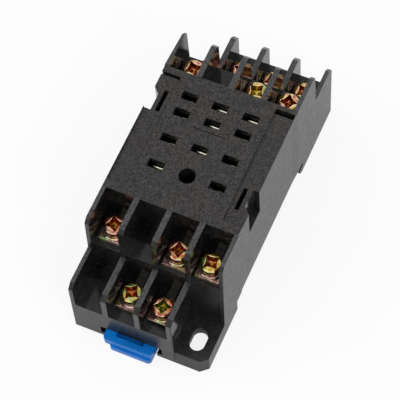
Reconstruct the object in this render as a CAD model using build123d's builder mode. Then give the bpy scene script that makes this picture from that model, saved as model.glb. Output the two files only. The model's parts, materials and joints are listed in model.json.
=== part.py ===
from build123d import *
import os

os.makedirs("parts", exist_ok=True)

# Relay socket for a blade-terminal relay: a black moulded housing with two tiers of screw terminals
# at each end, a sprung latch for a 35 mm top-hat rail and two ears for panel screws. Millimetres, +X to
# the right, the latch points along -Y, +Z up, origin on the underside in the middle of the footprint.

# Wire bays, four across each end on two tiers
bay_count = 4
bay_width = 5.9
inner_wall = 1.2
outer_wall = 0.9
outer_bay_room = 0.25
near_upper_depth = 8.1
far_upper_depth = 8.75
end_length = 18.5
end_step = 0.15
upper_floor = 18.9
lower_floor = 10.2
lower_wall_top = 17.9
wall_lean = 0.35
upper_corner = 1.0
lower_corner = 1.3
floor_slab = 1.4
end_wall = 1.0

# How far an upper tier's outer wall stands out past the inner walls
near_left_reach = 0.4
far_left_reach = 0.45
far_right_reach = 0.4
far_left_taper = 0.4

# Relay platform
platform_length = 30.4
body_height = 28.5
platform_skin = 1.5
back_wall = 1.2
column_pitch = 6.7
row_spots = (10.1, 6.0, -0.4, -6.8)
slot_length = 3.4
slot_width = 1.85
slot_shift = 0.15
guide_hole_radius = 1.75
guide_hole_depth = 14.0
boss_radius = 2.4
margin_width = 4.2
margin_in = 2.0
margin_depth = 0.4
pocket_length = 1.0
left_pocket_length = 0.5
pocket_depth = 3.4
side_ramp = 3.0
mark_length = 7.0
mark_width = 0.25
mark_depth = 0.2
mark_y = 3.85

# Slots and side pockets that take the relay's hold-down clip
clip_slot_width = 0.9
clip_slot_length = 5.1
clip_slot_depth = 7.3
clip_rib = 0.9
clip_y = 7.3
side_pocket_length = 5.35
side_pocket_slant = 1.5
side_pocket_depth = 8.1
side_pocket_reach = 1.4

# Mounting ears, on opposite corners
ear_height = 4.7
ear_corner_x = 1.6
ear_corner_y = 1.45
ear_slot_in_x = 3.6
ear_slot_in_y = 4.65
ear_slot_width = 3.2
ear_slot_length = 4.8
ear_slot_rim = 0.2
ear_plate = 1.8
ear_pocket_side = 1.1
ear_pocket_front = 0.7
ear_pocket_back = 1.9
ear_pocket_corner = 0.8
ear_draft = 0.2

# Seat for the rail between the two feet
rail_opening = 35.4
rail_seat = 3.5
hook_reach = 1.5
hook_thickness = 2.2
hook_lead = 0.9

# Hollow inside the housing
hollow_wall = 1.9
shoulder_wall = 4.9
strip_headroom = 1.1
plate_ledge = 0.8

# Rail latch and its spring
latch_x = -2.0
latch_reach = 2.5
latch_travel = 3.0
latch_shoulder = 1.6
channel_width = 13.7
channel_height = 3.9
keeper_height = 1.2
keeper_width = 1.2
handle_width = 10.9
handle_length = 5.0
handle_corner = 0.8
lip_width = 9.3
lip_shift = 0.65
lip_height = 1.7
lip_reach = 0.4
nose_width = 10.5
nose_height = 2.0
nose_lead = 1.2
notch_width = 6.1
notch_length = 1.4
notch_depth = 1.6
latch_floor = 0.8
peg_length = 1.5
peg_width = 2.4
peg_y = 5.9
spring_room = 6.8
spring_radius = 1.1
spring_wire = 0.35
spring_turns = 6

# Base plate and its screw
plate_thickness = 1.4
plate_over = 0.6
post_size = 2.0
base_screw_radius = 1.1
base_screw_head = 2.3
base_screw_length = 8.5

# Terminal strips, whose outer ends are placed from the platform's ends too, and contact springs
strip_thickness = 0.7
strip_width = 5.3
upper_strip_out = 7.5
lower_strip_out = 15.95
strip_back = 2.7
neck_width = 1.8
pad_length = 2.6
pad_width = 2.4
contact_width = 2.4
contact_sheet = 0.3
contact_headroom = 0.7
contact_base = 2.2
contact_throat = 0.55
contact_mouth = 1.7
contact_flare = 1.4
contact_shift = 0.35

# Terminal screws, placed from the platform's ends, and their clamp plates
upper_screw_out = 4.6
lower_screw_out = 13.0
clamp_thickness = 0.5
clamp_edge = 0.15
seat_radius = 2.6
seat_height = 0.3
seat_taper = 25
screw_radius = 1.45
screw_length = 6.5
screw_tip = 0.4
head_radius = 2.25
head_height = 2.2
head_side = 1.75
recess_arm = 1.0
recess_length = 3.5
recess_depth = 1.3
recess_taper = 10
core_radius = 1.05
core_depth = 1.7
core_taper = 25
well_radius = 1.8
well_gap = 0.3

# Clearances
thread_gap = 0.05
clamp_gap = 0.08
side_gap = 0.2
slide_gap = 0.2
seat_gap = 0.1
past = 1.0

# Signs of the two ends and the two sides
near_end = -1
far_end = 1
left_side = -1
right_side = 1

# Sizes worked out from the values above
bay_pitch = bay_width + inner_wall
outer_face = (bay_count * bay_pitch - inner_wall) / 2 + outer_bay_room
end_half = outer_face + outer_wall
half_width = end_half - end_step
platform_end = platform_length / 2
tier_edge = {near_end: platform_end + near_upper_depth, far_end: platform_end + far_upper_depth}
body_end = platform_end + end_length
bay_spots = [(bay - (bay_count - 1) / 2) * bay_pitch for bay in range(bay_count)]
bay_edges = [(x - bay_width / 2, x + bay_width / 2) for x in bay_spots]
bay_edges[0] = (-outer_face, bay_edges[0][1])
bay_edges[-1] = (bay_edges[-1][0], outer_face)
lower_bays = {near_end: bay_edges[:-1], far_end: bay_edges[1:]}
wall_reach = {
    (left_side, near_end): near_left_reach,
    (left_side, far_end): far_left_reach,
    (right_side, far_end): far_right_reach,
}
margin_length = platform_length - 2 * margin_in
plate_reach = platform_end + plate_over
rail_side = rail_opening / 2
hollow_half = half_width - hollow_wall
hollow_ceiling = body_height - platform_skin
contact_height = hollow_ceiling - contact_headroom - upper_floor - strip_thickness
plate_top = rail_seat + plate_thickness
clamp_size = bay_width - 2 * side_gap
ear_slot_x = end_half - ear_slot_in_x
ear_slot_y = body_end - ear_slot_in_y
rim_length = ear_slot_length + 2 * ear_slot_rim
rim_width = ear_slot_width + 2 * ear_slot_rim
ear_pocket_length = ear_slot_length + ear_pocket_front + ear_pocket_back
ear_pocket_width = ear_slot_width + 2 * ear_pocket_side
ear_pocket_y = ear_slot_y - (ear_pocket_back - ear_pocket_front) / 2
lean_slope = wall_lean / (body_height - upper_corner - lower_wall_top)
channel_mouth = channel_width - 2 * keeper_width
latch_top = channel_height - slide_gap
front_y = -body_end
latch_tip = front_y - latch_reach
body_y = latch_reach / 2

# The housing's own planes: its middle lies behind the origin, because the latch stands out in front
ground = Plane(origin=(0, body_y, 0))
side = Plane(origin=(0, body_y, 0), x_dir=(0, 1, 0), z_dir=(1, 0, 0))

# Each terminal: bay number from the left, end of the body, tier, the blade slot it feeds, how far out
# its screw stands from its usual place, and the angles of its clamp plate and of its screw's recess
terminals = [
    (0, far_end, "upper", -column_pitch, row_spots[0], 0, 0, 40),
    (2, far_end, "upper", 0, row_spots[0], 0, 0, 62),
    (3, far_end, "upper", column_pitch, row_spots[0], 0, 0, 12),
    (1, far_end, "lower", -column_pitch, row_spots[1], 0, 0, 80),
    (2, far_end, "lower", 0, row_spots[1], 0, 0, 33),
    (3, far_end, "lower", column_pitch, row_spots[1], 0, 0, 50),
    (0, near_end, "upper", -column_pitch, row_spots[2], -0.4, 0, 28),
    (2, near_end, "upper", 0, row_spots[2], 0, 2, 18),
    (3, near_end, "upper", column_pitch, row_spots[2], 0, 0, 55),
    (1, near_end, "lower", -column_pitch, row_spots[3], 0, 3.5, 73),
    (2, near_end, "lower", column_pitch, row_spots[3], 0.5, 0, 15),
]
# Contacts that stand a little off their slot's middle, so that their mouth is hidden by the slot's edge
hidden_contacts = (1, 4, 6, 7, 9, 11)

floor_of = {"upper": upper_floor, "lower": lower_floor}
screw_y_of = {"upper": platform_end + upper_screw_out, "lower": platform_end + lower_screw_out}
strip_end_of = {"upper": platform_end + upper_strip_out, "lower": platform_end + lower_strip_out}
slot_spots = [(terminal[3] - slot_shift, terminal[4]) for terminal in terminals]


# Rectangle drawn by its edges, in either order
def span(x_1, x_2, y_1, y_2):
    with Locations(((x_1 + x_2) / 2, (y_1 + y_2) / 2)):
        Rectangle(abs(x_2 - x_1), abs(y_2 - y_1))


# Side outline of one end's walls, stepped down from the platform
def end_outline(end):
    edge = tier_edge[end]
    return [
        (end * body_end, 0),
        (end * body_end, lower_wall_top - lower_corner),
        (end * (body_end - lower_corner), lower_wall_top),
        (end * (edge + wall_lean), lower_wall_top),
        (end * edge, body_height - upper_corner),
        (end * (edge - upper_corner), body_height),
    ]


# Side outline of what makes one outer wall of the upper tier reach further out
def reach_outline(end, reach):
    edge = tier_edge[end]
    return [
        (end * (edge - upper_corner), body_height),
        (end * (edge + reach - upper_corner), body_height),
        (end * (edge + reach), body_height - upper_corner),
        (end * (edge + reach + wall_lean), lower_wall_top),
        (end * (edge + wall_lean), lower_wall_top),
        (end * edge, body_height - upper_corner),
    ]


# Plan of what is cut from the outside of the far left outer wall
def taper_outline():
    tip_y = tier_edge[far_end] + far_left_reach
    return [
        (-end_half, platform_end),
        (-end_half + far_left_taper, tip_y),
        (-end_half + far_left_taper, body_end + past),
        (-end_half - past, body_end + past),
        (-end_half - past, platform_end),
    ]


# Outline of the gap that takes the rail, with the fixed hook at its far side
def rail_outline():
    return [
        (-rail_side, -past),
        (-rail_side, rail_seat),
        (rail_side, rail_seat),
        (rail_side, hook_thickness),
        (rail_side - hook_reach, hook_thickness),
        (rail_side - hook_reach, hook_lead),
        (rail_side - hook_reach + hook_lead, 0),
        (rail_side - hook_reach + hook_lead, -past),
    ]


# Outline, in side view, of what is cut from the outer wall above an ear
def ear_outline(way, end):
    edge = tier_edge[end] + wall_reach.get((way, end), 0)
    lean = lean_slope * (body_height - upper_corner - ear_height)
    return [
        (end * edge, body_height + past),
        (end * (body_end + past), body_height + past),
        (end * (body_end + past), ear_height),
        (end * (edge + lean), ear_height),
        (end * edge, body_height - upper_corner),
    ]


# Plan of what is taken off the platform's right side, running out in a slant at the far end
def right_side_outline():
    return [
        (half_width, -platform_end),
        (half_width, platform_end - side_ramp),
        (end_half, platform_end),
        (end_half + past, platform_end),
        (end_half + past, -platform_end),
    ]


# Plan of the pocket in a side wall, square at its inner end and slanted at the other
def side_pocket_outline(way):
    inner_y = way * (clip_y - side_pocket_length / 2)
    outer_y = way * (clip_y + side_pocket_length / 2)
    floor_x = -way * (half_width - side_pocket_reach)
    open_x = -way * half_width
    past_x = -way * (half_width + past)
    return [
        (past_x, inner_y),
        (floor_x, inner_y),
        (floor_x, outer_y - way * side_pocket_slant),
        (open_x, outer_y),
        (past_x, outer_y),
    ]


# Outline, in side view, of what the draft takes off an ear's end face
def ear_draft_outline(end):
    return [
        (end * body_end, 0),
        (end * (body_end + past), 0),
        (end * (body_end + past), ear_height),
        (end * (body_end - ear_draft), ear_height),
    ]


# Plan of an ear's cut-off corner
def ear_corner_outline(way, end):
    return [
        (way * (end_half - ear_corner_x), end * body_end),
        (way * end_half, end * body_end),
        (way * end_half, end * (body_end - ear_corner_y)),
    ]


# Housing
with BuildPart() as housing:
    with BuildSketch(side):
        with BuildLine():
            Polyline(*end_outline(near_end), *reversed(end_outline(far_end)), close=True)
        make_face()
    extrude(amount=end_half, both=True)
    for (way, end), reach in wall_reach.items():
        with BuildSketch(side.offset(way * outer_face)):
            with BuildLine():
                Polyline(*reach_outline(end, reach), close=True)
            make_face()
        extrude(amount=way * outer_wall)

    # The platform's right side, and its left side from the pocket on, stand a little in from the ends
    with BuildSketch(ground):
        with BuildLine():
            Polyline(*right_side_outline(), close=True)
        make_face()
        span(-half_width, -end_half - past, clip_y - side_pocket_length / 2, platform_end)
    extrude(amount=body_height, mode=Mode.SUBTRACT)

    # The far left outer wall gets thinner towards its tip
    with BuildSketch(ground.offset(ear_height)):
        with BuildLine():
            Polyline(*taper_outline(), close=True)
        make_face()
    extrude(amount=body_height, mode=Mode.SUBTRACT)

    # Upper and lower wire bays, open at the front
    for end in (near_end, far_end):
        with BuildSketch(ground.offset(upper_floor)):
            for low_x, high_x in bay_edges:
                span(low_x, high_x, end * platform_end, end * (tier_edge[end] + past))
        extrude(amount=body_height, mode=Mode.SUBTRACT)
        with BuildSketch(ground.offset(lower_floor)):
            for low_x, high_x in lower_bays[end]:
                span(low_x, high_x, end * tier_edge[end], end * (body_end + past))
        extrude(amount=body_height, mode=Mode.SUBTRACT)

    # Mounting ears on opposite corners, where the lowest bay is cut right down and loses its outer wall
    for way, end in ((right_side, near_end), (left_side, far_end)):
        upper_end = tier_edge[end] + wall_reach.get((way, end), 0)
        ear_inside = bay_edges[-1][0]
        with BuildSketch(ground.offset(ear_height)):
            span(way * ear_inside, way * outer_face, end * upper_end, end * (body_end + past))
        extrude(amount=body_height, mode=Mode.SUBTRACT)
        with BuildSketch(side.offset(way * outer_face)):
            with BuildLine():
                Polyline(*ear_outline(way, end), close=True)
            make_face()
        extrude(amount=way * (outer_wall + past), mode=Mode.SUBTRACT)
        with BuildSketch(side.offset(way * ear_inside)):
            with BuildLine():
                Polyline(*ear_draft_outline(end), close=True)
            make_face()
        extrude(amount=way * (end_half + past - ear_inside), mode=Mode.SUBTRACT)
        with BuildSketch(ground):
            with BuildLine():
                Polyline(*ear_corner_outline(way, end), close=True)
            make_face()
        extrude(amount=body_height, mode=Mode.SUBTRACT)
        with BuildSketch(ground):
            with Locations((way * ear_slot_x, end * ear_slot_y)):
                SlotOverall(ear_slot_length, ear_slot_width, rotation=90)
        extrude(amount=ear_height, mode=Mode.SUBTRACT)
        with BuildSketch(ground.offset(ear_height)):
            with Locations((way * ear_slot_x, end * ear_slot_y)):
                SlotOverall(rim_length, rim_width, rotation=90)
        extrude(amount=-ear_slot_rim, taper=45, mode=Mode.SUBTRACT)
        with BuildSketch(ground):
            with Locations((way * ear_slot_x, end * ear_pocket_y)):
                RectangleRounded(ear_pocket_width, ear_pocket_length, radius=ear_pocket_corner)
        extrude(amount=ear_height - ear_plate, mode=Mode.SUBTRACT)

    # Gap for the rail across the underside
    with BuildSketch(side):
        with BuildLine():
            Polyline(*rail_outline(), close=True)
        make_face()
    extrude(amount=half_width + past, both=True, mode=Mode.SUBTRACT)

    # Hollow: wide and low under the tiers, then up past the strips, then narrow up to the platform
    with BuildSketch(ground.offset(channel_height + floor_slab)):
        span(-hollow_half, hollow_half, end_wall - tier_edge[near_end], tier_edge[far_end] - end_wall)
    extrude(amount=upper_floor - 2 * floor_slab - channel_height, mode=Mode.SUBTRACT)
    with BuildSketch(ground.offset(plate_top)):
        Rectangle(2 * hollow_half, 2 * (platform_end - back_wall))
    extrude(amount=upper_floor + strip_headroom - plate_top, mode=Mode.SUBTRACT)
    with BuildSketch(ground.offset(plate_top)):
        Rectangle(2 * (half_width - shoulder_wall), 2 * (platform_end - back_wall))
    extrude(amount=hollow_ceiling - plate_top, mode=Mode.SUBTRACT)
    with BuildSketch(ground.offset(rail_seat)):
        Rectangle(2 * (hollow_half + plate_ledge), 2 * plate_reach)
    extrude(amount=plate_thickness, mode=Mode.SUBTRACT)

    # Centre boss with its blind hole from above and the pilot hole for the base screw
    with BuildSketch(ground.offset(plate_top)):
        with Locations((0, row_spots[3])):
            Circle(boss_radius)
    extrude(amount=hollow_ceiling - plate_top)
    with BuildSketch(ground.offset(body_height)):
        with Locations((0, row_spots[3])):
            Circle(guide_hole_radius)
    extrude(amount=-guide_hole_depth, mode=Mode.SUBTRACT)
    with BuildSketch(ground.offset(plate_top)):
        with Locations((0, row_spots[3])):
            Circle(base_screw_radius + thread_gap)
    extrude(amount=rail_seat + base_screw_length + well_gap - plate_top, mode=Mode.SUBTRACT)

    # Blade slots through the platform
    with BuildSketch(ground.offset(body_height)):
        with Locations(*slot_spots):
            Rectangle(slot_length, slot_width)
    extrude(amount=-platform_skin, mode=Mode.SUBTRACT)

    # Sunk margins along the platform's sides, the cross mark and the pockets at the margins' far ends
    with BuildSketch(ground.offset(body_height)):
        with Locations((half_width - margin_width / 2, 0), (-half_width + margin_width / 2, 0)):
            Rectangle(margin_width, margin_length)
    extrude(amount=-margin_depth, mode=Mode.SUBTRACT)
    with BuildSketch(ground.offset(body_height)):
        with Locations((0, mark_y)):
            Rectangle(mark_length, mark_width)
    extrude(amount=-mark_depth, mode=Mode.SUBTRACT)
    with BuildSketch(ground.offset(body_height)):
        with Locations((half_width - margin_width / 2, margin_length / 2 + pocket_length / 2)):
            Rectangle(margin_width, pocket_length)
        with Locations((-half_width + margin_width / 2, margin_length / 2 + left_pocket_length / 2)):
            Rectangle(margin_width, left_pocket_length)
    extrude(amount=-pocket_depth, mode=Mode.SUBTRACT)

    # Clip slots and the pockets outside them, half a turn apart
    for way in (near_end, far_end):
        clip_x = -way * (half_width - side_pocket_reach - clip_rib - clip_slot_width / 2)
        with BuildSketch(ground.offset(body_height)):
            with Locations((clip_x, way * clip_y)):
                Rectangle(clip_slot_width, clip_slot_length)
        extrude(amount=-clip_slot_depth, mode=Mode.SUBTRACT)
        with BuildSketch(ground.offset(body_height)):
            with BuildLine():
                Polyline(*side_pocket_outline(way), close=True)
            make_face()
        extrude(amount=-side_pocket_depth, mode=Mode.SUBTRACT)

    # Passages for the strips and wells for the screws' shanks
    for bay, end, tier, slot_x, slot_y, shift, plate_turn, recess_turn in terminals:
        x = bay_spots[bay]
        floor_z = floor_of[tier]
        wall_y = platform_end if tier == "upper" else tier_edge[end]
        wall_thickness = back_wall if tier == "upper" else end_wall
        with BuildSketch(ground.offset(floor_z)):
            with Locations((x, end * (wall_y - wall_thickness / 2))):
                Rectangle(neck_width + 2 * seat_gap, wall_thickness)
        extrude(amount=strip_thickness + seat_gap, mode=Mode.SUBTRACT)
        well_depth = screw_length + well_gap - strip_thickness - clamp_thickness - seat_height
        with BuildSketch(ground.offset(floor_z)):
            with Locations((x, end * (screw_y_of[tier] + shift))):
                Circle(well_radius)
        extrude(amount=-well_depth, mode=Mode.SUBTRACT)

    # Channel for the latch in the near foot, narrower at the bottom so that it can't fall out, and the
    # peg that stops it
    channel_length = body_end - rail_side
    with BuildSketch(ground.offset(keeper_height)):
        with Locations((latch_x, front_y + channel_length / 2 - past / 2)):
            Rectangle(channel_width, channel_length + past)
    extrude(amount=channel_height - keeper_height, mode=Mode.SUBTRACT)
    with BuildSketch(ground):
        with Locations((latch_x, front_y + channel_length / 2 - past / 2)):
            Rectangle(channel_mouth, channel_length + past)
    extrude(amount=keeper_height, mode=Mode.SUBTRACT)
    peg_front = front_y + peg_y
    with BuildSketch(ground.offset(channel_height)):
        with Locations((latch_x, peg_front + peg_length / 2)):
            Rectangle(peg_width, peg_length)
    extrude(amount=slide_gap + latch_floor + slide_gap - channel_height)
housing.part.label = "housing"
export_step(housing.part, "parts/housing.step")

# Rail latch: stepped body, handle, nose under the rail, notch for a screwdriver, pocket for the spring
latch_body_front = front_y + latch_shoulder
latch_body_end = -rail_side - side_gap
latch_nose_end = -rail_side + hook_reach
with BuildPart() as rail_latch:
    with BuildSketch(ground.offset(keeper_height + slide_gap)):
        with Locations((latch_x, (latch_body_front + latch_body_end) / 2)):
            Rectangle(channel_width - 2 * slide_gap, latch_body_end - latch_body_front)
    extrude(amount=latch_top - keeper_height - slide_gap)
    with BuildSketch(ground.offset(slide_gap)):
        with Locations((latch_x, (latch_body_front + latch_body_end) / 2)):
            Rectangle(channel_mouth - 2 * slide_gap, latch_body_end - latch_body_front)
    extrude(amount=keeper_height)

    # Handle with round corners, over a narrower lip that reaches further out
    with BuildSketch(ground.offset(lip_height)):
        with Locations((latch_x, latch_tip + lip_reach + handle_length / 2)):
            handle_plan = Rectangle(handle_width, handle_length)
        fillet(handle_plan.vertices().group_by(Axis.Y)[0], radius=handle_corner)
    extrude(amount=latch_top - lip_height)
    with BuildSketch(ground.offset(slide_gap)):
        with Locations((latch_x + lip_shift, latch_tip + (handle_length + lip_reach) / 2)):
            lip_plan = Rectangle(lip_width, handle_length + lip_reach)
        fillet(lip_plan.vertices().group_by(Axis.Y)[0], radius=handle_corner)
    extrude(amount=lip_height - slide_gap)

    # Nose that catches the rail, slanted underneath so that the rail pushes it back
    with BuildSketch(side.offset(latch_x)):
        with BuildLine():
            Polyline(
                (latch_body_end, slide_gap),
                (latch_body_end, slide_gap + nose_height),
                (latch_nose_end, slide_gap + nose_height),
                (latch_nose_end, slide_gap + nose_height - nose_lead / 2),
                (latch_nose_end - nose_lead, slide_gap),
                close=True,
            )
        make_face()
    extrude(amount=nose_width / 2, both=True)

    # Screwdriver notch in the top, beside the housing's front face
    with BuildSketch(ground.offset(latch_top)):
        with Locations((latch_x, front_y)):
            Rectangle(notch_width, notch_length)
    extrude(amount=-notch_depth, mode=Mode.SUBTRACT)

    # Pocket for the peg and the spring
    pocket_front = front_y + peg_y - seat_gap
    pocket_back = front_y + peg_y + peg_length + spring_room
    with BuildSketch(ground.offset(latch_top)):
        with Locations((latch_x, (pocket_front + pocket_back) / 2)):
            Rectangle(peg_width + 2 * side_gap, pocket_back - pocket_front)
    extrude(amount=slide_gap + latch_floor - latch_top, mode=Mode.SUBTRACT)
rail_latch.part.label = "rail_latch"
export_step(rail_latch.part, "parts/rail_latch.step")

# Return spring, between the housing's peg and the back of the latch's pocket
spring_start = body_y + front_y + peg_y + peg_length + seat_gap / 2 + spring_wire / 2
spring_length = spring_room - seat_gap - spring_wire
spring_z = slide_gap + latch_floor + seat_gap + spring_radius + spring_wire / 2
with BuildPart() as latch_spring:
    with BuildLine() as coil:
        Helix(
            pitch=spring_length / spring_turns,
            height=spring_length,
            radius=spring_radius,
            center=(latch_x, spring_start, spring_z),
            direction=(0, 1, 0),
        )
    with BuildSketch(Plane(coil.line @ 0, z_dir=coil.line % 0)):
        Circle(spring_wire / 2)
    sweep(is_frenet=True)
latch_spring.part.label = "latch_spring"
export_step(latch_spring.part, "parts/latch_spring.step")

# Base plate, with a post under each contact's pad
with BuildPart() as base_plate:
    with BuildSketch(ground.offset(rail_seat)):
        Rectangle(2 * (hollow_half + plate_ledge - seat_gap), 2 * (plate_reach - seat_gap))
    extrude(amount=plate_thickness)
    for terminal in terminals:
        tier = terminal[2]
        with BuildSketch(ground.offset(plate_top)):
            with Locations(terminal[3:5]):
                Rectangle(post_size, post_size)
        extrude(amount=floor_of[tier] - plate_top)
    with BuildSketch(ground.offset(rail_seat)):
        with Locations((0, row_spots[3])):
            Circle(base_screw_radius + clamp_gap)
    extrude(amount=plate_thickness, mode=Mode.SUBTRACT)
    with BuildSketch(ground.offset(rail_seat)):
        with Locations((0, row_spots[3])):
            Circle(base_screw_head + clamp_gap)
    extrude(amount=base_screw_head - base_screw_radius, taper=45, mode=Mode.SUBTRACT)
base_plate.part.label = "base_plate"
export_step(base_plate.part, "parts/base_plate.step")

# Countersunk screw that holds the base plate up against the boss
with BuildPart() as base_screw:
    with BuildSketch(ground.offset(rail_seat)):
        with Locations((0, row_spots[3])):
            Circle(base_screw_head)
    extrude(amount=base_screw_head - base_screw_radius, taper=45)
    with BuildSketch(ground.offset(rail_seat)):
        with Locations((0, row_spots[3])):
            Circle(base_screw_radius)
    extrude(amount=base_screw_length)
    with BuildSketch(ground.offset(rail_seat)):
        with Locations((0, row_spots[3])):
            Rectangle(recess_arm, 2 * base_screw_radius)
            Rectangle(2 * base_screw_radius, recess_arm)
    extrude(amount=recess_depth, mode=Mode.SUBTRACT)
base_screw.part.label = "base_screw"
export_step(base_screw.part, "parts/base_screw.step")

# Terminal strips, contact springs, clamp plates and screws
for number, (bay, end, tier, slot_x, slot_y, shift, plate_turn, recess_turn) in enumerate(terminals, 1):
    x = bay_spots[bay]
    floor_z = floor_of[tier]
    screw_y = end * (screw_y_of[tier] + shift)
    strip_end = end * (strip_end_of[tier] + min(shift, 0))
    strip_start = end * (screw_y_of[tier] - strip_back)

    # The strip lies on the bay's floor, runs in through the wall and ends under its blade slot
    with BuildPart() as strip:
        with BuildSketch(ground.offset(floor_z)):
            with Locations((x, (strip_start + strip_end) / 2)):
                Rectangle(strip_width, abs(strip_end - strip_start))
            with Locations((x, (strip_start + slot_y) / 2)):
                Rectangle(neck_width, abs(strip_start - slot_y) + neck_width)
            with Locations(((x + slot_x) / 2, slot_y)):
                Rectangle(abs(x - slot_x) + neck_width, neck_width)
            with Locations((slot_x, slot_y)):
                Rectangle(pad_width, pad_length)
        extrude(amount=strip_thickness)
        if tier == "lower":
            with BuildSketch(ground.offset(floor_z)):
                with Locations((slot_x, slot_y + end * (pad_length - strip_thickness) / 2)):
                    Rectangle(pad_width, strip_thickness)
            extrude(amount=upper_floor - floor_z)
            with BuildSketch(ground.offset(upper_floor)):
                with Locations((slot_x, slot_y)):
                    Rectangle(pad_width, pad_length)
            extrude(amount=strip_thickness)
        with BuildSketch(ground.offset(floor_z)):
            with Locations((x, screw_y)):
                Circle(screw_radius + thread_gap)
        extrude(amount=strip_thickness, mode=Mode.SUBTRACT)
    strip.part.label = f"terminal_strip_{number}"
    export_step(strip.part, f"parts/terminal_strip_{number}.step")

    # The contact is a folded spring whose two leaves nip the relay's blade and flare out at the mouth
    pad_top = upper_floor + strip_thickness + contact_sheet / 2
    shift = contact_shift if number in hidden_contacts else 0
    middle = slot_y - shift
    leaf = [
        (contact_mouth / 2, pad_top + contact_height - contact_sheet),
        (contact_throat / 2, pad_top + contact_height - contact_sheet - contact_flare),
        (contact_base / 2 - contact_sheet / 2, pad_top + contact_height / 3),
        (contact_base / 2 - contact_sheet / 2, pad_top),
    ]
    fold = [(middle + y, z) for y, z in leaf] + [(middle - y, z) for y, z in reversed(leaf)]
    with BuildPart() as contact:
        with BuildSketch(side.offset(slot_x)):
            with BuildLine():
                Polyline(*fold)
            trace(line_width=contact_sheet)
        extrude(amount=contact_width / 2, both=True)
    contact.part.label = f"contact_spring_{number}"
    export_step(contact.part, f"parts/contact_spring_{number}.step")

    # The square clamp plate is carried by its screw, with a raised round seat for the head
    strip_top = floor_z + strip_thickness
    plate_top_z = strip_top + clamp_thickness
    with BuildPart() as clamp_plate:
        with BuildSketch(ground.offset(strip_top)):
            with Locations((x, screw_y)):
                Rectangle(clamp_size, clamp_size, rotation=plate_turn)
        extrude(amount=clamp_thickness)
        chamfer(clamp_plate.edges().group_by(Axis.Z)[-1], length=clamp_edge)
        with BuildSketch(ground.offset(plate_top_z)):
            with Locations((x, screw_y)):
                Circle(seat_radius)
        extrude(amount=seat_height, taper=seat_taper)
        with BuildSketch(ground.offset(strip_top)):
            with Locations((x, screw_y)):
                Circle(screw_radius + clamp_gap)
        extrude(amount=clamp_thickness + seat_height, mode=Mode.SUBTRACT)
    clamp_plate.part.label = f"clamp_plate_{number}"
    export_step(clamp_plate.part, f"parts/clamp_plate_{number}.step")

    # The screw has a domed head with a tapered cross recess, wider and deeper in the middle
    head_bottom = plate_top_z + seat_height
    with BuildPart() as screw:
        with BuildSketch(ground.offset(head_bottom)):
            with Locations((x, screw_y)):
                Circle(head_radius)
        extrude(amount=head_height)
        fillet(screw.edges().group_by(Axis.Z)[-1], radius=head_height - head_side)
        with BuildSketch(ground.offset(head_bottom)):
            with Locations((x, screw_y)):
                Circle(screw_radius)
        extrude(amount=-screw_length)
        chamfer(screw.edges().group_by(Axis.Z)[0], length=screw_tip)
        with BuildSketch(ground.offset(head_bottom + head_height)):
            with Locations((x, screw_y)):
                Rectangle(recess_arm, recess_length, rotation=recess_turn)
                Rectangle(recess_length, recess_arm, rotation=recess_turn)
        extrude(amount=-recess_depth, taper=recess_taper, mode=Mode.SUBTRACT)
        with BuildSketch(ground.offset(head_bottom + head_height)):
            with Locations((x, screw_y)):
                Circle(core_radius)
        extrude(amount=-core_depth, taper=core_taper, mode=Mode.SUBTRACT)
    screw.part.label = f"terminal_screw_{number}"
    export_step(screw.part, f"parts/terminal_screw_{number}.step")
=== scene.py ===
import bpy
import json
import math
import numpy as np
from mathutils import Matrix, Vector


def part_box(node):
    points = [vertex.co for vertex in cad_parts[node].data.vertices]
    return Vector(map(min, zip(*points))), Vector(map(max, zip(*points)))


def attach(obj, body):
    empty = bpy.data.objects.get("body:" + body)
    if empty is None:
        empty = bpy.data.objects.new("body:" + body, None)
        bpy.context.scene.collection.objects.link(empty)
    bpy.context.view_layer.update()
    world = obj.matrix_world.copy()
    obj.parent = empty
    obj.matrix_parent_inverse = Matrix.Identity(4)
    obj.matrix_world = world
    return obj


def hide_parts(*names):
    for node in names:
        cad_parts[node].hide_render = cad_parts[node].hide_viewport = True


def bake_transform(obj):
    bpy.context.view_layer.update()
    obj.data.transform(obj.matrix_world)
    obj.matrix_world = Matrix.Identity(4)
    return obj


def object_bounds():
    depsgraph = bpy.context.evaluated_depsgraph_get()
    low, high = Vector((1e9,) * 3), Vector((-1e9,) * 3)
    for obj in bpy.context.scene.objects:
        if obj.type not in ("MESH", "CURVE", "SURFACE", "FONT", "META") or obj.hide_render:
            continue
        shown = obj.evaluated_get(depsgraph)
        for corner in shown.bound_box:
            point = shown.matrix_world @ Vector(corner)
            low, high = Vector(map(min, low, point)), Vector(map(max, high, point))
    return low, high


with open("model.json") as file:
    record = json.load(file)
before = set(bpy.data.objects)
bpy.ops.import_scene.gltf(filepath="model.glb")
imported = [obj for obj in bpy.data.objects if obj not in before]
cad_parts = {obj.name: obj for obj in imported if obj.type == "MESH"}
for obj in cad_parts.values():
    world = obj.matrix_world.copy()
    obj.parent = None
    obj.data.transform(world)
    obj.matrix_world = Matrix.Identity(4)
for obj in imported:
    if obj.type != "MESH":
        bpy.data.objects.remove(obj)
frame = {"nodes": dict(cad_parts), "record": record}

cadBox = [list(corner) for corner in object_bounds()]
mm = 0.001
scene = bpy.context.scene
scene.view_settings.view_transform = "Standard"
print("frame loaded,", len(frame["nodes"]), "nodes")


def addMath(nodes, links, kind, a, b=None, clamp=False):
    # a and b are numbers, written on the sockets, or outputs, linked to them
    n = nodes.new("ShaderNodeMath")
    n.operation = kind
    n.use_clamp = clamp
    for i, value in enumerate((a, b)):
        if value is None:
            continue
        if isinstance(value, (int, float)):
            n.inputs[i].default_value = value
        else:
            links.new(value, n.inputs[i])
    return n.outputs[0]


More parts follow.
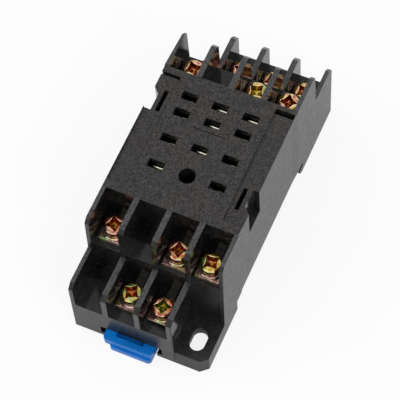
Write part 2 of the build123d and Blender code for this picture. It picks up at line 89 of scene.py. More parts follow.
# Camera, floor and light
view = {
    "azimuth": 28.108, "elevation": 61.805, "roll": -5.090,   # degrees
    "distance": 420.044, "target": (1.116, -3.156, 15.0),      # mm
    "focalPixels": 2054.72, "framePixels": 400, "sensor": 36.0,
    "clip": (0.01, 10),                                        # m
}


def aimCamera(v):
    # back = (sin a cos e, -cos a cos e, sin e); right and up turned by the roll about it
    a, e, r = (math.radians(v[k]) for k in ("azimuth", "elevation", "roll"))
    back = Vector((math.sin(a) * math.cos(e), -math.cos(a) * math.cos(e), math.sin(e)))
    right = (-back).cross(Vector((0, 0, 1))).normalized()
    up = right.cross(-back)
    rolledRight = math.cos(r) * right + math.sin(r) * up
    rolledUp = -math.sin(r) * right + math.cos(r) * up
    data = bpy.data.cameras.new("camera")
    data.sensor_width = v["sensor"]
    data.lens = v["focalPixels"] / v["framePixels"] * v["sensor"]
    data.clip_start, data.clip_end = v["clip"]
    camera = bpy.data.objects.new("camera", data)
    scene.collection.objects.link(camera)
    place = Matrix((rolledRight, rolledUp, back)).transposed().to_4x4()
    place.translation = (Vector(v["target"]) + back * v["distance"]) * mm
    camera.matrix_world = place
    scene.camera = camera


stage = {
    "floorHalf": 1.5, "floorColour": 0.86,       # m, and its grey where the lamps light it
    "floorWhite": 0.86, "floorMirrored": 0.5,    # share of plain white in it, seen and mirrored
    "worldLight": 0.85, "worldTint": (1.0, 0.99, 0.98),
}


def mixShaders(nodes, links, share, first, second, out):
    mix = nodes.new("ShaderNodeMixShader")
    for socket, source in zip(mix.inputs, (share, first.outputs[0], second.outputs[0])):
        links.new(source, socket)
    links.new(mix.outputs[0], out.inputs[0])


def buildWorld(s):
    # plain white on camera, glossy and transmission rays, and the light's own strength on the rest
    world = bpy.data.worlds.new("studio")
    scene.world = world
    world.use_nodes = True
    nodes, links = world.node_tree.nodes, world.node_tree.links
    nodes.clear()
    out = nodes.new("ShaderNodeOutputWorld")
    lit = nodes.new("ShaderNodeBackground")
    lit.inputs["Color"].default_value = (*s["worldTint"], 1)
    lit.inputs["Strength"].default_value = s["worldLight"]
    white = nodes.new("ShaderNodeBackground")
    white.inputs["Color"].default_value = (1, 1, 1, 1)
    white.inputs["Strength"].default_value = 1.0
    path = nodes.new("ShaderNodeLightPath")
    seen = addMath(nodes, links, "MAXIMUM", path.outputs["Is Camera Ray"], path.outputs["Is Glossy Ray"])
    seen = addMath(nodes, links, "MAXIMUM", seen, path.outputs["Is Transmission Ray"])
    mixShaders(nodes, links, seen, lit, white, out)


def buildFloor(s):
    # matte, with a share of plain white on camera and glossy rays, so that it keeps the shadow
    h = s["floorHalf"]
    mesh = bpy.data.meshes.new("floor")
    mesh.from_pydata([(-h, -h, 0), (h, -h, 0), (h, h, 0), (-h, h, 0)], [], [(0, 1, 2, 3)])
    floor = bpy.data.objects.new("floor", mesh)
    scene.collection.objects.link(floor)
    mat = bpy.data.materials.new("paleFloor")
    mat.use_nodes = True
    nodes, links = mat.node_tree.nodes, mat.node_tree.links
    nodes.clear()
    out = nodes.new("ShaderNodeOutputMaterial")
    matte = nodes.new("ShaderNodeBsdfDiffuse")
    matte.inputs["Color"].default_value = (s["floorColour"],) * 3 + (1,)
    white = nodes.new("ShaderNodeEmission")
    white.inputs["Strength"].default_value = 1.0
    path = nodes.new("ShaderNodeLightPath")
    seen = addMath(nodes, links, "MULTIPLY", path.outputs["Is Camera Ray"], s["floorWhite"])
    mirrored = addMath(nodes, links, "MULTIPLY", path.outputs["Is Glossy Ray"], s["floorMirrored"])
    mixShaders(nodes, links, addMath(nodes, links, "ADD", mirrored, seen), matte, white, out)
    mesh.materials.append(mat)


lamps = [   # name, place in mm, aimed at, size in mm, watts
    ("keyLamp", (520, -380, 620), (0, 0, 10), 260, 1.8),
    ("fillLamp", (-600, -200, 500), (0, 0, 10), 400, 1.0),
]


def addLamps(rows):
    for name, place, aim, size, power in rows:
        data = bpy.data.lights.new(name, "AREA")
        data.energy = power
        data.size = size * mm
        lamp = bpy.data.objects.new(name, data)
        scene.collection.objects.link(lamp)
        lamp.location = Vector(place) * mm
        lamp.rotation_euler = (Vector(aim) - Vector(place)).to_track_quat("-Z", "Y").to_euler()


aimCamera(view)
buildWorld(stage)
buildFloor(stage)
addLamps(lamps)
print("camera, floor and lamps set")


# Materials
latchStandsOut = 2.5 * mm   # past the housing's near end
housingMiddle = (cadBox[0][1] + cadBox[1][1]) / 2 + latchStandsOut / 2   # along the length


def startMaterial(name):
    mat = bpy.data.materials.new(name)
    mat.use_nodes = True
    nodes = mat.node_tree.nodes
    shader = nodes["Principled BSDF"]
    coord = nodes.new("ShaderNodeTexCoord")
    return mat, nodes, mat.node_tree.links, shader, coord.outputs["Object"]


def splitAxes(nodes, links, vector):
    n = nodes.new("ShaderNodeSeparateXYZ")
    links.new(vector, n.inputs[0])
    return n.outputs


def addNoise(nodes, links, coord, scale, detail=3.0, rough=0.55, distort=0.0):
    n = nodes.new("ShaderNodeTexNoise")
    n.inputs["Scale"].default_value = scale
    n.inputs["Detail"].default_value = detail
    n.inputs["Roughness"].default_value = rough
    n.inputs["Distortion"].default_value = distort
    links.new(coord, n.inputs["Vector"])
    return n.outputs["Fac"]


def addRamp(nodes, links, fac, stops):
    ramp = nodes.new("ShaderNodeValToRGB")
    while len(ramp.color_ramp.elements) < len(stops):
        ramp.color_ramp.elements.new(0.5)
    for element, (at, colour) in zip(ramp.color_ramp.elements, stops):
        element.position = at
        element.color = (*colour, 1)
    links.new(fac, ramp.inputs[0])
    return ramp.outputs[0]


def addMix(nodes, links, share, a, b, kind="RGBA"):
    # a where the share is 0 and b where it is 1; a colour given as numbers goes on the socket
    n = nodes.new("ShaderNodeMix")
    n.data_type = kind
    links.new(share, n.inputs["Factor"])
    for socket, value in (("A", a), ("B", b)):
        if isinstance(value, tuple):
            n.inputs[socket].default_value = (*value, 1)
        else:
            links.new(value, n.inputs[socket])
    return n.outputs["Result"]


def mapRange(nodes, links, value, low, high, toLow, toHigh):
    n = nodes.new("ShaderNodeMapRange")
    for socket, v in zip(("From Min", "From Max", "To Min", "To Max"), (low, high, toLow, toHigh)):
        n.inputs[socket].default_value = v
    links.new(value, n.inputs["Value"])
    return n.outputs[0]


def readAttribute(nodes, name):
    n = nodes.new("ShaderNodeAttribute")
    n.attribute_name = name
    return n.outputs["Fac"]


def addEdge(nodes, radius):
    # sharp edges shaded as if they were rounded
    n = nodes.new("ShaderNodeBevel")
    n.samples = 4
    n.inputs["Radius"].default_value = radius * mm
    return n.outputs[0]


def addBump(nodes, links, shader, height, strength, depth, after=None):
    n = nodes.new("ShaderNodeBump")
    n.inputs["Strength"].default_value = strength
    n.inputs["Distance"].default_value = depth * mm
    links.new(height, n.inputs["Height"])
    if after is not None:
        links.new(after, n.inputs["Normal"])
    links.new(n.outputs[0], shader.inputs["Normal"])


blackLook = {
    # where the surface changes, mm: out from the middle of the length, off the middle line, up
    "platformEnd": 15.2, "slotSlack": 0.1, "bayEnd": 33.9,
    "bayHalf": 13.95, "pocketHalf": 14.5, "earSide": 7.3,
    "lowerFloor": 10.15, "lowerTop": 17.9, "lowerTopBand": 0.1, "upperFloor": 18.8,
    "platformFloor": 27.8, "upperTop": 28.3,
    "facing": 0.7,                                                     # part of a normal on one axis
    "dark": (0.004, 0.004, 0.004), "pale": (0.022, 0.0215, 0.0205),    # moulded faces
    "pit": (0.003, 0.003, 0.0035), "peak": (0.050, 0.048, 0.047),      # eroded platform
    # the walls' tops colour is partly wear and partly a painted reflection of the sky
    "warmPeak": (0.057, 0.049, 0.045), "top": (0.075, 0.075, 0.077),   # its warm patches, walls' tops
    "mottle": (900, 4, 0.65), "broad": (160, 3, 0.5), "grain": (3600, 2, 0.6),   # noises
    "specular": 0.32,
    "smooth": (0.25, 0.38), "glossy": (0.07, 0.14), "rough": (0.42, 0.65),       # roughness
    "dull": (0.34, 0.46), "sunk": (0.06, 0.12),
    "edge": 0.12, "bumpStrength": 0.6, "bumpDepth": 0.06,              # mm
    "platformBump": 1.5, "mouldedBump": 0.07,                          # shares of that depth
}


def makeBlackMoulding(look):
    # Masks of 0 and 1, each a product of comparisons of place and normal with the values above,
    # pick the eroded platform, the bays, the slots' walls, the ears' back walls and the up-facing tops, paler
    # for wear and a painted sky reflection.
    mat, nodes, links, shader, coord = startMaterial("blackMoulding")

    def over(value, limit):
        return addMath(nodes, links, "GREATER_THAN", value, limit)

    def under(value, limit):
        return addMath(nodes, links, "LESS_THAN", value, limit)

    def size(value):
        return addMath(nodes, links, "ABSOLUTE", value)

    def product(first, *others):
        for other in others:
            first = addMath(nodes, links, "MULTIPLY", first, other)
        return first

    def shares(first, share, second):
        rest = round(1 - share, 6)
        return addMath(nodes, links, "ADD", product(first, share), product(second, rest))

    x, y, z = splitAxes(nodes, links, coord)
    geometry = nodes.new("ShaderNodeNewGeometry")
    normal = splitAxes(nodes, links, geometry.outputs["Normal"])
    flat = over(normal[2], look["facing"])
    behind = addMath(nodes, links, "SUBTRACT", y, housingMiddle)
    fromMiddle, across = size(behind), size(x)
    platform = product(under(fromMiddle, look["platformEnd"] * mm),
                       over(z, look["platformFloor"] * mm), flat)
    # between the bays' walls the moulding is smoother, and mirrors the screws
    between = product(over(fromMiddle, look["platformEnd"] * mm), under(fromMiddle, look["bayEnd"] * mm))
    inBay = product(between, under(across, look["bayHalf"] * mm), over(z, look["lowerFloor"] * mm))
    # the walls of the platform's slots and pockets are smooth, so they mirror the dark below them
    slotEnd = (look["platformEnd"] + look["slotSlack"]) * mm
    sunk = product(under(across, look["pocketHalf"] * mm), under(fromMiddle, slotEnd),
                   addMath(nodes, links, "SUBTRACT", 1.0, flat))
    # the wall behind each mounting ear is less smooth: near ear on the right, far ear on the left
    side = product(x, addMath(nodes, links, "SIGN", behind))
    back = product(under(side, -look["earSide"] * mm), under(z, look["upperFloor"] * mm), between,
                   over(size(normal[1]), look["facing"]))

    mottle, broad, grain = (addNoise(nodes, links, coord, *look[k]) for k in ("mottle", "broad", "grain"))
    tone = shares(mottle, 0.6, broad)
    speck = shares(mottle, 0.3, grain)
    eroded = addMix(nodes, links, mapRange(nodes, links, broad, 0.4, 0.6, 0.0, 1.0),
                    addRamp(nodes, links, speck, [(0.4, look["pit"]), (0.62, look["peak"])]),
                    addRamp(nodes, links, speck, [(0.4, look["pit"]), (0.62, look["warmPeak"])]))
    moulded = addRamp(nodes, links, tone, [(0.36, look["dark"]), (0.66, look["pale"])])
    colour = addMix(nodes, links, platform, moulded, eroded)
    # the walls' narrow up-facing tops are paler, on both tiers: partly rubbed wear, partly a painted
    # reflection of the sky
    onUpper = addMath(nodes, links, "SUBTRACT", over(z, look["upperTop"] * mm), platform, clamp=True)
    fromLower = size(addMath(nodes, links, "SUBTRACT", z, look["lowerTop"] * mm))
    onLower = under(fromLower, look["lowerTopBand"] * mm)
    rubbedAndSheen = product(addMath(nodes, links, "MAXIMUM", onUpper, onLower), flat,
                     mapRange(nodes, links, speck, 0.4, 0.6, 0.2, 1.0))
    links.new(addMix(nodes, links, rubbedAndSheen, colour, look["top"]), shader.inputs["Base Color"])
    shader.inputs["Specular IOR Level"].default_value = look["specular"]
    roughness = mapRange(nodes, links, mottle, 0.3, 0.7, *look["smooth"])
    for where, kind in ((inBay, "glossy"), (back, "dull"), (platform, "rough"), (sunk, "sunk")):
        other = mapRange(nodes, links, mottle, 0.3, 0.7, *look[kind])
        roughness = addMix(nodes, links, where, roughness, other, "FLOAT")
    links.new(roughness, shader.inputs["Roughness"])
    height = addMath(nodes, links, "ADD", product(grain, 0.5), mottle)
    share = addMath(nodes, links, "ADD", product(platform, look["platformBump"]), look["mouldedBump"])
    addBump(nodes, links, shader, product(height, share), look["bumpStrength"], look["bumpDepth"],
            addEdge(nodes, look["edge"]))
    return mat


blueLook = {
    "dark": (0.0, 0.12, 0.44), "pale": (0.0, 0.165, 0.58), "specular": 0.25, "rough": (0.24, 0.38),
    "cloud": (260, 3), "grain": (2400, 2), "edge": 0.25, "bumpStrength": 0.25, "bumpDepth": 0.03,   # mm
}


def makeBlueMoulding(look):
    # two blues by a broad noise, which also sets the roughness, and a fine grain in the bump
    mat, nodes, links, shader, coord = startMaterial("blueMoulding")
    cloud = addNoise(nodes, links, coord, *look["cloud"])
    grain = addNoise(nodes, links, coord, *look["grain"])
    colour = addRamp(nodes, links, cloud, [(0.35, look["dark"]), (0.65, look["pale"])])
    links.new(colour, shader.inputs["Base Color"])
    links.new(mapRange(nodes, links, cloud, 0.3, 0.7, *look["rough"]), shader.inputs["Roughness"])
    shader.inputs["Specular IOR Level"].default_value = look["specular"]
    addBump(nodes, links, shader, grain, look["bumpStrength"], look["bumpDepth"],
            addEdge(nodes, look["edge"]))
    return mat


# pale tints of the chromate film, and deep ones that are painted shade and dark reflection where the
# attribute sunk is high
screwFilmAndShade = {
    "shift": (0.0, 0.0, 0.0),
    "pale": [(0.22, (0.40, 0.56, 0.26)), (0.33, (0.86, 0.74, 0.34)), (0.46, (0.93, 0.74, 0.44)),
             (0.55, (0.90, 0.58, 0.46)), (0.63, (0.86, 0.50, 0.46)), (0.72, (0.52, 0.60, 0.30))],
    "deep": [(0.22, (0.20, 0.24, 0.02)), (0.33, (0.46, 0.30, 0.02)), (0.45, (0.44, 0.13, 0.02)),
             (0.57, (0.34, 0.05, 0.02)), (0.70, (0.26, 0.24, 0.03))],
}
# the clamp plates' deep tints are darker still, as painted dark reflection
clampFilmAndShade = {
    "shift": (0.013, 0.007, 0.004),   # of the noises, m
    "pale": [(0.30, (0.50, 0.66, 0.38)), (0.40, (0.80, 0.72, 0.42)), (0.50, (0.86, 0.66, 0.54)),
             (0.60, (0.80, 0.52, 0.54)), (0.72, (0.74, 0.68, 0.40))],
    "deep": [(0.30, (0.10, 0.17, 0.06)), (0.40, (0.17, 0.13, 0.04)), (0.50, (0.16, 0.07, 0.055)),
             (0.60, (0.15, 0.06, 0.075)), (0.72, (0.14, 0.12, 0.04))],
}
chromateLook = {
    "film": (430, 3, 0.55, 1.0), "patch": (1100, 2, 0.5), "grain": (3000, 2),   # noises
    "patchDepth": 0.45, "rough": (0.07, 0.14), "bumpStrength": 0.25, "bumpDepth": 0.02,   # mm
}


def makeChromate(name, tints, look):
    # Interference tints of a chromate film, along a ramp by the film's thickness: a noise plus
    # the attribute "film". The ramp is pale where the metal is open and deep where the attribute
    # "sunk", moved up and down in small patches, says that light has bounced in it several times.
    mat, nodes, links, shader, coord = startMaterial(name)
    place = nodes.new("ShaderNodeMapping")
    place.inputs["Location"].default_value = tints["shift"]
    links.new(coord, place.inputs["Vector"])
    film = addNoise(nodes, links, place.outputs[0], *look["film"])
    patch = addNoise(nodes, links, place.outputs[0], *look["patch"])
    grain = addNoise(nodes, links, coord, *look["grain"])
    film = addMath(nodes, links, "ADD", film, readAttribute(nodes, "film"))
    moved = mapRange(nodes, links, patch, 0.3, 0.7, -look["patchDepth"], look["patchDepth"])
    share = addMath(nodes, links, "ADD", readAttribute(nodes, "sunk"), moved, clamp=True)
    colour = addMix(nodes, links, share, addRamp(nodes, links, film, tints["pale"]),
                    addRamp(nodes, links, film, tints["deep"]))
    links.new(colour, shader.inputs["Base Color"])
    shader.inputs["Metallic"].default_value = 1.0
    links.new(mapRange(nodes, links, film, 0.3, 0.7, *look["rough"]), shader.inputs["Roughness"])
    addBump(nodes, links, shader, grain, look["bumpStrength"], look["bumpDepth"])
    return mat


metalLook = {"cloud": (420, 3), "grain": (2600, 2), "bumpStrength": 0.2, "bumpDepth": 0.02}   # mm
stripLook = {
    "dark": (0.34, 0.32, 0.27), "pale": (0.55, 0.52, 0.44), "rough": (0.05, 0.12),
    # the dark colour here is painted shade and dark reflection on the strips' parts deep in the bays
    "paintedShadeColour": (0.10, 0.094, 0.08), "upperEnd": 19.6, "lowerEnd": 28.2, "tierSplit": 15.0,   # mm
}
contactFinish = {"dark": (0.82, 0.77, 0.6), "pale": (0.95, 0.91, 0.78), "rough": (0.12, 0.22)}
steelFinish = {"dark": (0.42, 0.42, 0.43), "pale": (0.62, 0.62, 0.63), "rough": (0.25, 0.4)}


def makeMetal(name, finish, look):
    # Two tones by a broad noise, which also sets the roughness. With a painted shade colour given, that dark
    # colour is painted as shade on what lies nearer to the housing's middle than upperEnd, and on the lower
    # tier than lowerEnd.
    mat, nodes, links, shader, coord = startMaterial(name)
    cloud = addNoise(nodes, links, coord, *look["cloud"])
    grain = addNoise(nodes, links, coord, *look["grain"])
    colour = addRamp(nodes, links, cloud, [(0.35, finish["dark"]), (0.65, finish["pale"])])
    if "paintedShadeColour" in finish:
        place = splitAxes(nodes, links, coord)
        behind = addMath(nodes, links, "SUBTRACT", place[1], housingMiddle)
        fromMiddle = addMath(nodes, links, "ABSOLUTE", behind)
        upper = addMath(nodes, links, "LESS_THAN", fromMiddle, finish["upperEnd"] * mm)
        lower = addMath(nodes, links, "LESS_THAN", fromMiddle, finish["lowerEnd"] * mm)
        low = addMath(nodes, links, "LESS_THAN", place[2], finish["tierSplit"] * mm)
        lower = addMath(nodes, links, "MULTIPLY", low, lower)
        inPaintedShade = addMath(nodes, links, "MAXIMUM", upper, lower)
        colour = addMix(nodes, links, inPaintedShade, colour, finish["paintedShadeColour"])
    links.new(colour, shader.inputs["Base Color"])
    shader.inputs["Metallic"].default_value = 1.0
    links.new(mapRange(nodes, links, cloud, 0.3, 0.7, *finish["rough"]), shader.inputs["Roughness"])
    addBump(nodes, links, shader, grain, look["bumpStrength"], look["bumpDepth"])
    return mat


finishes = {
    "black_moulding": makeBlackMoulding(blackLook),
    "blue_moulding": makeBlueMoulding(blueLook),
    "chromated_screw": makeChromate("screwChromate", screwFilmAndShade, chromateLook),
    "chromated_clamp": makeChromate("clampChromate", clampFilmAndShade, chromateLook),
    "plated_strip": makeMetal("platedStrip", stripLook, metalLook),
    "contact_metal": makeMetal("contactMetal", contactFinish, metalLook),
    "plain_steel": makeMetal("plainSteel", steelFinish, metalLook),
}
for part in frame["record"]["subparts"]:
    node = frame["nodes"][part["node"]]
    node.data.materials.clear()
    node.data.materials.append(finishes[part["material_slot"]])
print("materials made")


# New pieces: each is a row of closed rings, worked out as one array
def ringMesh(name, rings, ends):
    # rings[i, j] is point j of ring i; quads join each ring to the next one, and the ends are
    # closed with a polygon each ("caps") or joined to each other ("loop")
    rows, cols = rings.shape[:2]
    i = np.arange(rows if ends == "loop" else rows - 1)[:, None]
    j = np.arange(cols)[None, :]
    here, after = i * cols, (i + 1) % rows * cols
    side = (j + 1) % cols
    quads = np.stack([here + j, here + side, after + side, after + j], axis=-1).reshape(-1, 4)
    flat = rings.reshape(-1, 3)
    fan = flat[quads] - flat.mean(axis=0)
    crossed = np.cross(fan[:, 1], fan[:, 2]) + np.cross(fan[:, 2], fan[:, 3])
    volume = np.einsum("ij,ij->i", fan[:, 0], crossed).sum()
    faces = (quads[:, ::-1] if volume < 0 else quads).tolist()
    if ends == "caps":
        first, last = list(range(cols)), list(range((rows - 1) * cols, rows * cols))
        faces += [first, last[::-1]] if volume < 0 else [first[::-1], last]
    mesh = bpy.data.meshes.new(name)
    mesh.from_pydata(flat.tolist(), [], faces)
    mesh.validate()
    piece = bpy.data.objects.new(name, mesh)
    scene.collection.objects.link(piece)
    return piece


def finishPiece(piece, body, node, slot, sharp):
    # edges that turn by more than the angle, in degrees, stay sharp
    piece.data.shade_smooth()
    piece.data.set_sharp_from_angle(angle=math.radians(sharp))
    piece.data.materials.append(finishes[slot])
    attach(piece, body)
    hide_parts(node)


def setAttribute(piece, name, values):
    layer = piece.data.attributes.new(name, "FLOAT", "POINT")
    layer.data.foreach_set("value", np.ascontiguousarray(values, dtype=np.float32).ravel())


def turnedRings(section, columns):
    # radii and heights of a section's points, each repeated round its ring
    return np.array(section).T[:, :, None] * np.ones(columns)


screwLook = {
    "radius": 2.25, "height": 2.2, "side": 1.75, "dome": 0.02, "columns": 128,             # head, mm
    "armLength": 1.98, "core": 1.12, "armPower": 3.0, "armSlope": 2.0, "coreSlope": 4.5,   # recess
    "armDepth": 1.3, "coreDepth": 1.75, "coreFloor": 0.8, "lip": 0.05,
    "shank": 1.45, "thread": 0.2, "pitch": 0.5, "runOut": 0.4, "rowsPerTurn": 8,
    "plain": 0.3, "length": 6.5, "tip": 0.4, "sharp": 42,
    # painted shade and dark reflection, as the share of the deep tints: the petals' ring by ring, more of it
    # at the near end, and the head's side
    "petalShadeRings": [0.2, 0.0, 0.1, 0.5, 0.65, 0.65, 0.6, 0.5, 0.3, 0.1, 0.0, 0.0, 0.6, 1.0],
    "nearShade": 0.18, "firstNear": 7, "sideShade": 0.65,
    # each screw's turn in degrees, and its film's shift on the petals and in the recess
    "turns": {1: 40, 2: 62, 3: 12, 4: 80, 5: 33, 6: 50, 7: 28, 8: 18, 9: 55, 10: 73, 11: 15},
    "film": {1: (-0.08, 0.0), 2: (-0.12, -0.16), 3: (-0.05, 0.03), 4: (0.0, -0.03), 5: (0.02, 0.0),
             6: (-0.04, -0.03), 7: (0.06, -0.04), 8: (0.03, -0.08), 9: (-0.22, 0.07),
             10: (-0.25, 0.07), 11: (0.06, -0.24)},
}


def buildScrew(number, s):
    # Head: height over the plane is a flat top rounded down to the side. The recess outline in
    # polar form is a star: the core's circle, rising by a power of the angle to each arm's tip.
    # Inside it the floor falls with the way in from the outline, down to a floor that is
    # deepest in the middle. Shank: radius falls and rises once in each turn of the thread.
    low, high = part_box(f"terminal_screw_{number}")
    centre = np.array([(low[0] + high[0]) / 2, (low[1] + high[1]) / 2, high[2] - s["height"] * mm])
    v = np.linspace(0, 2 * np.pi, s["columns"], endpoint=False)
    turn = v - math.radians(s["turns"][number])
    fold = np.abs((turn + np.pi / 4) % (np.pi / 2) - np.pi / 4)   # angle from the nearest arm
    outline = s["core"] + (s["armLength"] - s["core"]) * (1 - fold / (np.pi / 4)) ** s["armPower"]
    outline = (np.roll(outline, 1) + 2 * outline + np.roll(outline, -1)) / 4
    steep = s["armSlope"] + (s["coreSlope"] - s["armSlope"]) * np.clip(fold / (np.pi / 5), 0, 1) ** 0.7
    corner = s["height"] - s["side"]
    flat = s["radius"] - corner

    def topHeight(r):
        over = np.clip((r - flat) / corner, 0, 1)
        return s["side"] + corner * np.sqrt(1 - over ** 2) - s["dome"] * r ** 2 * (over < 1)

    t = np.array([0.12, 0.24, 0.36, 0.47, 0.57, 0.66, 0.74, 0.81, 0.87, 0.92, 0.955, 0.98])[:, None]
    r = t * outline
    floor = s["coreDepth"] - (s["coreDepth"] - s["armDepth"]) * np.clip(r / s["coreFloor"], 0, 1)
    depth = np.minimum(steep * (outline - r), floor)
    inner = np.stack([r, topHeight(outline) - s["lip"] - depth, np.ones_like(r)])
    w = np.array([0, 0.03, 0.08, 0.2, 0.35, 0.5, 0.62, 0.72, 0.8, 0.87, 0.925, 0.965, 0.99, 1.0])[:, None]
    r = outline + w * (s["radius"] - outline)
    sag = np.array([1, 0.35, 0.05] + [0] * 11)[:, None]   # of the lip, ring by ring
    petalShading = np.array(s["petalShadeRings"])[:, None] + (s["nearShade"] if number >= s["firstNear"] else 0.0)
    outer = np.stack([r, topHeight(r) - s["lip"] * sag, petalShading + 0 * r])
    edge = [(s["radius"], 0.8), (s["radius"], 0.15), (s["radius"] - 0.06, 0.04), (s["radius"] - 0.15, 0),
            (s["shank"] + 0.1, 0), (s["shank"] - 0.02, -0.08)]
    under = np.stack([*turnedRings(edge, s["columns"]), np.full((len(edge), s["columns"]), s["sideShade"])])
    rows = int((s["length"] - s["plain"] - s["tip"]) / s["pitch"] * s["rowsPerTurn"])
    z = -np.linspace(s["plain"], s["length"] - s["tip"], rows)[:, None]
    phase = (z / s["pitch"] - v / (2 * np.pi)) % 1
    fade = np.clip(-(z + s["plain"]) / s["runOut"], 0, 1)
    r = s["shank"] - 0.02 - s["thread"] * fade * np.abs(2 * phase - 1)
    shank = np.stack([r, z + 0 * r, 0 * r])
    end = [(s["shank"] - s["tip"] * 0.6, -s["length"] + 0.05), (s["shank"] - s["tip"], -s["length"])]
    tip = np.stack([*turnedRings(end, s["columns"]), np.zeros((len(end), s["columns"]))])
    r, z, sunk = np.concatenate([inner, outer, under, shank, tip], axis=1)
    rings = np.stack([r * np.cos(v), r * np.sin(v), z], axis=-1) * mm + centre
    piece = ringMesh(f"screw_{number}_shape", rings, "caps")
    # the attribute sunk holds the painted shade: full in the recess, ring by ring on the petals and on the
    # head's side
    setAttribute(piece, "sunk", sunk)
    petals, recess = s["film"][number]
    inRecess = np.arange(len(sunk))[:, None] < len(t)
    setAttribute(piece, "film", np.where(inRecess, recess, petals) + 0 * sunk)
    finishPiece(piece, f"screw_{number}", f"terminal_screw_{number}", "chromated_screw", s["sharp"])


plateLook = {
    "half": 2.75, "corner": 0.3, "thickness": 0.5, "hole": 1.53,   # mm
    "seat": 2.46, "seatFoot": 2.6, "seatHeight": 0.3, "sharp": 30,
    "turns": {8: 2.0, 10: 3.5},                                    # plates that lie askew, degrees
    # painted shade and dark reflection, ring by ring, as the share of the deep tints; the low ones are
    # painted highlights on the seat's rim and the square's top edge
    "film": [1.0, 0.9, 0.9, 0.8, 0.1, 0.9, 1.0, 1.0, 0.6, 0.2, 0.9, 1.0, 1.0, 1.0, 1.0],
}


def roundedSquare(half, corner, perSide=6, perCorner=7):
    # points round a square whose corners are quarter circles
    a = np.linspace(0, np.pi / 2, perCorner)
    arc = np.stack([half - corner + corner * np.cos(a), half - corner + corner * np.sin(a)], axis=-1)
    run = np.linspace(1, -1, perSide + 2)[1:-1] * (half - corner)
    quarter = np.concatenate([arc, np.stack([run, np.full_like(run, half)], axis=-1)])
    turned = [quarter @ np.array([[math.cos(q), math.sin(q)], [-math.sin(q), math.cos(q)]])
              for q in (0, math.pi / 2, math.pi, 3 * math.pi / 2)]
    return np.concatenate(turned)


def buildPlate(number, p):
    # Rings go from the hole over the round seat to the square's edge, down it and back
    # underneath; each is a circle or the square's outline pulled in by some way.
    low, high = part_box(f"clamp_plate_{number}")
    centre = np.array([(low[0] + high[0]) / 2, (low[1] + high[1]) / 2, low[2]])
    square = roundedSquare(p["half"], p["corner"])
    way = square / np.linalg.norm(square, axis=1, keepdims=True)
    top, seat = p["thickness"], p["thickness"] + p["seatHeight"]
    circles = [(p["hole"], 0.06), (p["hole"], seat - 0.07), (p["hole"] + 0.07, seat),
               (p["seat"] - 0.08, seat), (p["seat"] - 0.02, seat - 0.02),
               (p["seatFoot"] - 0.02, top + 0.04), (p["seatFoot"] + 0.04, top)]   # radius, height
    squares = [(0.10, top), (0.05, top - 0.015), (0.015, top - 0.05), (0.0, top - 0.11),
               (0.0, 0.08), (0.03, 0.02), (0.08, 0)]                              # pulled in by, height
    rings = [np.column_stack([way * r, np.full(len(way), z)]) for r, z in circles]
    rings += [np.column_stack([square * (1 - cut / p["half"]), np.full(len(way), z)]) for cut, z in squares]
    rings.append(np.column_stack([way * (p["hole"] + 0.06), np.zeros(len(way))]))
    rings = np.array(rings)
    q = math.radians(p["turns"].get(number, 0))
    rings = rings @ np.array([[math.cos(q), math.sin(q), 0], [-math.sin(q), math.cos(q), 0], [0, 0, 1]])
    piece = ringMesh(f"plate_{number}_shape", rings * mm + centre, "loop")
    # the attribute sunk holds this painted shade and the rims' painted highlights
    setAttribute(piece, "sunk", np.repeat(np.array(p["film"])[:, None], rings.shape[1], axis=1))
    finishPiece(piece, f"clamp_{number}", f"clamp_plate_{number}", "chromated_clamp", p["sharp"])


contactLook = {
    "sheet": 0.3, "width": 2.4, "base": 2.2, "throat": 0.55, "mouth": 1.7, "flare": 1.4, "round": 0.07,   # mm
    "points": 150, "sharp": 50,
    "lipped": (2, 3, 5, 8, 10),   # the contacts whose mouth is turned over into a lip
}


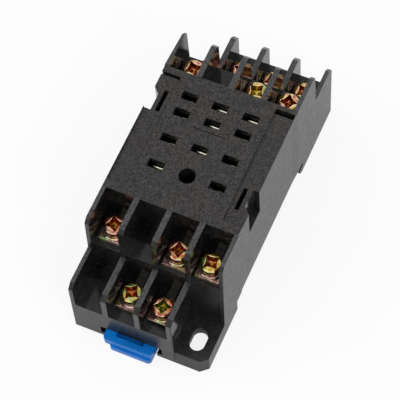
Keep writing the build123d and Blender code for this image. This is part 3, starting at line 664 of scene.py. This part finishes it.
def buildContact(number, c):
    # A thin rounded section carried along the folded leaf: from the mouth in to the throat, out to
    # the base, and the same on the other side. Some mouths end in a lip that lies almost flat.
    # Between two knots the line is a cubic, whose slope at each is that from one neighbour to the other.
    low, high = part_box(f"contact_spring_{number}")
    middle = (np.array(low) + np.array(high)) / 2 / mm
    foot, tall = low[2] / mm, (high[2] - low[2]) / mm
    t = c["sheet"]
    if number in c["lipped"]:
        mouth = [(c["mouth"] / 2 + t * 0.35, tall - t * 0.75), (c["mouth"] / 2 - 0.25, tall - t * 1.15)]
    else:
        mouth = [(c["mouth"] / 2 - t * 0.2, tall - t * 0.2), (c["mouth"] / 2 - 0.25, tall - 0.45)]
    leaf = np.array(mouth + [
        (c["throat"] / 2 + 0.22, tall - 0.95), (c["throat"] / 2, tall - c["flare"] - t / 2),
        (c["throat"] / 2 + 0.1, tall - c["flare"] - 0.75), (c["base"] / 2 - 0.32, tall * 0.5),
        (c["base"] / 2 - t / 2, tall * 0.3), (c["base"] / 2 - t / 2, 0.6),
        (c["base"] / 2 - t / 2 - 0.02, 0.35), (c["base"] / 2 - 0.35, t / 2 + 0.02), (0.3, t / 2)])
    knots = np.concatenate([leaf, (leaf * [-1, 1])[::-1]])
    u = np.linspace(0, len(knots) - 1, c["points"])
    k = np.clip(u.astype(int), 0, len(knots) - 2)
    f = (u - k)[:, None]
    around = [knots[np.clip(k + d, 0, len(knots) - 1)] for d in (-1, 0, 1, 2)]
    line = 0.5 * (2 * around[1] + (around[2] - around[0]) * f
                  + (2 * around[0] - 5 * around[1] + 4 * around[2] - around[3]) * f ** 2
                  + (3 * around[1] - around[0] - 3 * around[2] + around[3]) * f ** 3)
    along = np.gradient(line, axis=0)
    normal = np.stack([-along[:, 1], along[:, 0]], axis=-1) / np.linalg.norm(along, axis=1, keepdims=True)
    w, h, r = c["width"] / 2, t / 2, c["round"]
    near = r * 0.3   # how far a rounded corner's middle is in from the corner
    section = np.array([(w, -h + r), (w, h - r), (w - near, h - near), (w - r, h),
                        (-w + r, h), (-w + near, h - near), (-w, h - r), (-w, -h + r),
                        (-w + near, -h + near), (-w + r, -h), (w - r, -h), (w - near, -h + near)])
    across = section[None, :, 0] + 0 * line[:, None, 0]
    y = line[:, None, 0] + normal[:, None, 0] * section[None, :, 1]
    z = line[:, None, 1] + normal[:, None, 1] * section[None, :, 1]
    rings = np.stack([across + middle[0], y + middle[1], z + foot], axis=-1)
    piece = ringMesh(f"contact_{number}_shape", rings * mm, "caps")
    finishPiece(piece, "housing_body", f"contact_spring_{number}", "contact_metal", c["sharp"])


springLook = {"wire": 0.35, "turns": 6, "perTurn": 24, "around": 10}   # mm and counts


def buildLatchSpring(c):
    # A round wire carried along a helix: at angle a the centre line is (r cos a, a / 2 pi of a
    # turn's pitch, r sin a).
    low, high = (np.array(corner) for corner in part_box("latch_spring"))
    wire = c["wire"] * mm / 2
    radius = (high[0] - low[0]) / 2 - wire
    a = np.linspace(0, 2 * np.pi * c["turns"], c["turns"] * c["perTurn"] + 1)[:, None]
    b = np.linspace(0, 2 * np.pi, c["around"], endpoint=False)[None, :]
    first, last = low[1] + wire, high[1] - wire
    climb = (last - first) / a.max()
    slope = climb / np.hypot(radius, climb)
    out = radius + wire * np.cos(b)
    x = out * np.cos(a) + wire * np.sin(b) * slope * np.sin(a)
    z = out * np.sin(a) - wire * np.sin(b) * slope * np.cos(a)
    y = first + climb * a + wire * np.sin(b) * math.sqrt(1 - slope ** 2)
    middle = (low + high) / 2
    rings = np.stack([x + middle[0], y, z + middle[2]], axis=-1)
    piece = ringMesh("latch_spring_shape", rings, "caps")
    piece.data.shade_smooth()
    piece.data.materials.append(finishes["plain_steel"])
    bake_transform(piece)
    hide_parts("latch_spring")


terminals = 11
for number in range(1, terminals + 1):
    buildScrew(number, screwLook)
    buildPlate(number, plateLook)
    buildContact(number, contactLook)
buildLatchSpring(springLook)
print("screws, clamp plates, contacts and latch spring made")
